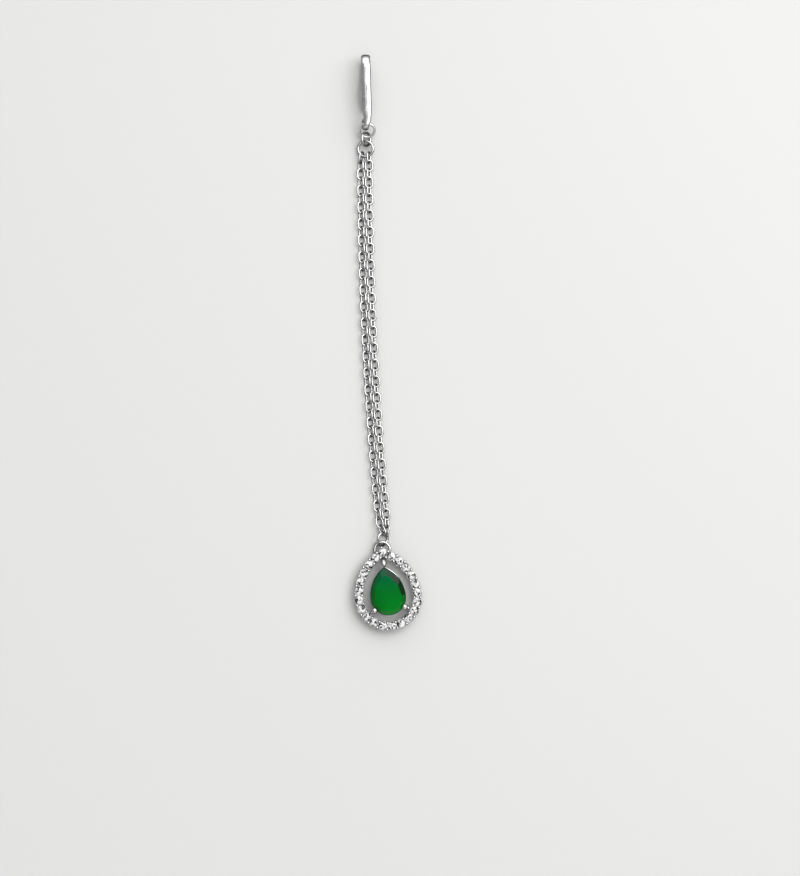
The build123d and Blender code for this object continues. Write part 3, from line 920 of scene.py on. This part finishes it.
round_stones = [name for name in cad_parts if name.startswith("halo_stone")]
for name in round_stones:
    stone = cut_stone(name)
    stone.data.materials.append(clear)
    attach(stone, "root")
    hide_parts(name)
print("round stones:", len(round_stones))

# %% [markdown]
# ## The centre stone
#
# The centre stone keeps its measured facets, which must stay flat and sharp. It is a deep
# green with a soft, milky body: some light goes through it and some is scattered inside. Its
# green is warm in the belly, deeper in the middle and bluish at the tip, with faint clouds.
# Light that enters a gem on the lamp's side comes out on the other, so facets that lean to the
# lamp are the darkest, those on its left are a little darker than the rest, and the crown
# darkens towards the girdle. Light traced through one even green shows none of this, so this
# shade is painted into its green, from the place on the stone and from each facet's own normal.

# %% How deep the green is
CROWN = 0.58
GIRDLE_LINE = 0.18
CLOUD_GRAIN = 0.25
# which way a facet may lean, and the share of its green left by the painted shade at a full lean
LEANINGS = {(0.57, 0.82, 0.0): 0.15, (-0.62, 0.78, 0.0): 0.70}


def combined(nodes, links, operation, first, second):
    """One value from two: their product or their sum."""
    both = nodes.new("ShaderNodeMath")
    both.operation = operation
    links.new(first, both.inputs[0])
    links.new(second, both.inputs[1])
    return both.outputs["Value"]


green, nodes, links, shader = stone_material("green_stone", through=0.30, rough=0.05, index=1.57)
shader.inputs["Specular IOR Level"].default_value = 0.18
low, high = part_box("centre_stone")
spot = nodes.new("ShaderNodeTexCoord")
place = nodes.new("ShaderNodeSeparateXYZ")
links.new(spot.outputs["Object"], place.inputs["Vector"])

# painted shade below the girdle, just above it and where a facet leans, and darker in clouds
girdle = high[2] - CROWN * MM
line = remap(nodes, links, place.outputs["Z"], 0.25, 1.0, girdle, girdle + GIRDLE_LINE * MM)
cloud = remap(nodes, links, noise(nodes, links, CLOUD_GRAIN, 1), 0.85, 1.15)
clouds_and_shade = combined(nodes, links, "MULTIPLY", line, cloud)
for toward, darkest in LEANINGS.items():
    lean = nodes.new("ShaderNodeVectorMath")
    lean.operation = "DOT_PRODUCT"
    lean.inputs[1].default_value = toward
    links.new(spot.outputs["Normal"], lean.inputs[0])
    # painted shade where a facet leans towards the lamp or to the left
    lit = remap(nodes, links, lean.outputs["Value"], 1.0, darkest, 0.20, 0.46)
    clouds_and_shade = combined(nodes, links, "MULTIPLY", clouds_and_shade, lit)

# %% Green stone, from the belly to the tip
along = remap(nodes, links, place.outputs["Y"], 0.0, 1.0, low[1], high[1])
greens = nodes.new("ShaderNodeValToRGB")
greens.color_ramp.elements[0].color = (0.0, 0.280, 0.016, 1)
greens.color_ramp.elements[1].color = (0.0, 0.200, 0.085, 1)
greens.color_ramp.elements.new(0.5).color = (0.0, 0.195, 0.019, 1)
links.new(along, greens.inputs["Fac"])
body = nodes.new("ShaderNodeVectorMath")
body.operation = "SCALE"
links.new(greens.outputs["Color"], body.inputs[0])
links.new(clouds_and_shade, body.inputs["Scale"])
links.new(body.outputs["Vector"], shader.inputs["Base Color"])

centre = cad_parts["centre_stone"]
centre.material_slots[0].material = green
centre.data.polygons.foreach_set("use_smooth", np.zeros(len(centre.data.polygons), bool))
print("green stone, mm:", [round((b - a) / MM, 2) for a, b in zip(low, high)])

# %% [markdown]
# ## Table, light and view
#
# The jewel lies on a matt, pale table. One large soft lamp stands high on the right and gives
# the soft shadows on the left. Polished metal shows nothing but what surrounds it, so the sky
# is dim, with a bright window high on the right, a pale wall beyond each end of the jewel, and
# a dark place where whoever looks at the jewel stands. A picture of a studio could be the sky,
# but patches are easier to aim, so each is a round one, told by its angle from a direction.

# %% Table
# in metres, so wide that no view sees its edge
TABLE_SIZE = 12
# in millimetres, so that nothing of the jewel lies in its plane
TABLE_DROP = 0.02
bpy.ops.mesh.primitive_plane_add(size=TABLE_SIZE, location=(0, 0, -TABLE_DROP * MM))
table = bpy.context.object
table.name = "table"
paper, nodes, links, shader = new_material("table_white")
shader.inputs["Roughness"].default_value = 0.6
shader.inputs["Base Color"].default_value = (0.72, 0.717, 0.711, 1)
table.data.materials.append(paper)
table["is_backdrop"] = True

# %% Sky
world = bpy.data.worlds.new("studio")
bpy.context.scene.world = world
world.use_nodes = True
nodes, links = world.node_tree.nodes, world.node_tree.links
direction = nodes.new("ShaderNodeTexCoord")


def patch(aim, inner, outer, within, beyond):
    """A round patch of sky about a direction: one level within an angle, one beyond another.

    It goes by the cosine between the two directions, and by a smooth step between the levels.
    """
    lean = nodes.new("ShaderNodeVectorMath")
    lean.operation = "DOT_PRODUCT"
    lean.inputs[1].default_value = unit(np.array(aim))
    links.new(direction.outputs["Generated"], lean.inputs[0])
    glow = nodes.new("ShaderNodeMapRange")
    glow.interpolation_type = "SMOOTHSTEP"
    glow.inputs["From Min"].default_value = np.cos(np.radians(outer))
    glow.inputs["From Max"].default_value = np.cos(np.radians(inner))
    glow.inputs["To Min"].default_value = beyond
    glow.inputs["To Max"].default_value = within
    links.new(lean.outputs["Value"], glow.inputs["Value"])
    return glow.outputs["Result"]


# inner and outer are degrees from the aim, within and beyond are the sky's strength
window = patch((0.32, 0.18, 0.93), inner=18, outer=36, within=2.5, beyond=0.27)
far_wall = patch((0.0, 0.90, 0.45), inner=22, outer=45, within=1.1, beyond=0.0)
near_wall = patch((0.1, -0.92, 0.40), inner=20, outer=40, within=0.35, beyond=0.0)
onlooker = patch((0.01, -0.08, 1.0), inner=5, outer=9, within=0.05, beyond=1.0)
walls = combined(nodes, links, "ADD", far_wall, near_wall)
bright = combined(nodes, links, "ADD", window, walls)
level = combined(nodes, links, "MULTIPLY", bright, onlooker)
links.new(level, nodes["Background"].inputs["Strength"])
nodes["Background"].inputs["Color"].default_value = (1, 1, 1, 1)


# %% Lamp
def lamp(name, place, aim, size, power):
    """A square soft lamp that points at a place: its axis runs from the place to the aim."""
    light = bpy.data.lights.new(name, "AREA")
    light.size = size * MM
    light.energy = power
    holder = bpy.data.objects.new(name, light)
    holder.location = Vector(place) * MM
    holder.rotation_euler = (Vector(place) - Vector(aim)).to_track_quat("Z", "Y").to_euler()
    bpy.context.scene.collection.objects.link(holder)
    print(f"{name}: {size} mm wide, {power} W")


lamp("key", place=(260, 160, 330), aim=(0, -10, 0), size=400, power=0.80)

# %% Camera
VIEW_MIDDLE = Vector((2.0, -16.07, 0))
CAMERA_HEIGHT = 340.0
VIEW_TALL = 149.0
SENSOR = 36.0
camera = bpy.data.cameras.new("camera")
camera.sensor_width = SENSOR
# the view is as tall as VIEW_TALL on the table: lens / height = sensor / tall
camera.lens = SENSOR * CAMERA_HEIGHT / VIEW_TALL
camera.dof.use_dof = False
camera.clip_start = 1 * MM
viewer = bpy.data.objects.new("camera", camera)
viewer.location = (VIEW_MIDDLE + Vector((0, 0, CAMERA_HEIGHT))) * MM
bpy.context.scene.collection.objects.link(viewer)
bpy.context.scene.camera = viewer
bpy.context.scene.view_settings.view_transform = "Standard"
print("lens, mm:", round(camera.lens, 1))

# %% The jewel's size
low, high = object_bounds()
print("jewel, mm:", [round((b - a) / MM, 2) for a, b in zip(low, high)])
